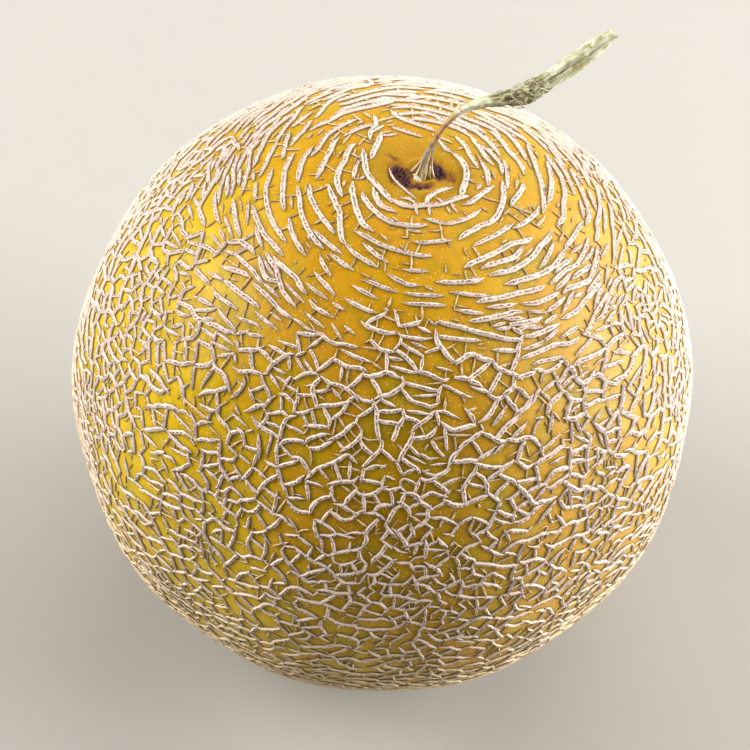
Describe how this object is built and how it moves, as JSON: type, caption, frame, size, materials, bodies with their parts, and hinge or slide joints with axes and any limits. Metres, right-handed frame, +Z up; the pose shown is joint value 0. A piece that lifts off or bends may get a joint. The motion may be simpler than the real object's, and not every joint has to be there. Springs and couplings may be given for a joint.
{
  "type": "cantaloupe melon",
  "caption": "Whole ripe netted melon, nearly round, with a raised corky net drawn into rings round a thin dried stalk; stands on a small flat spot at its blossom end.",
  "frame": {"origin": "middle of the flat spot that the fruit rests on, at its blossom end", "axes": "+Z up through the fruit from the blossom end to the stalk; the stalk's cut end leans towards +X and a little towards +Y"},
  "size_m": [0.1516, 0.1522, 0.1808],
  "materials": {
    "netted_rind": "satin",
    "cork_net": "matte",
    "dry_stalk": "matte"
  },
  "bodies": {
    "root": {"netted_fruit": "netted_rind", "dry_stalk": "dry_stalk"}
  },
  "joints": []
}
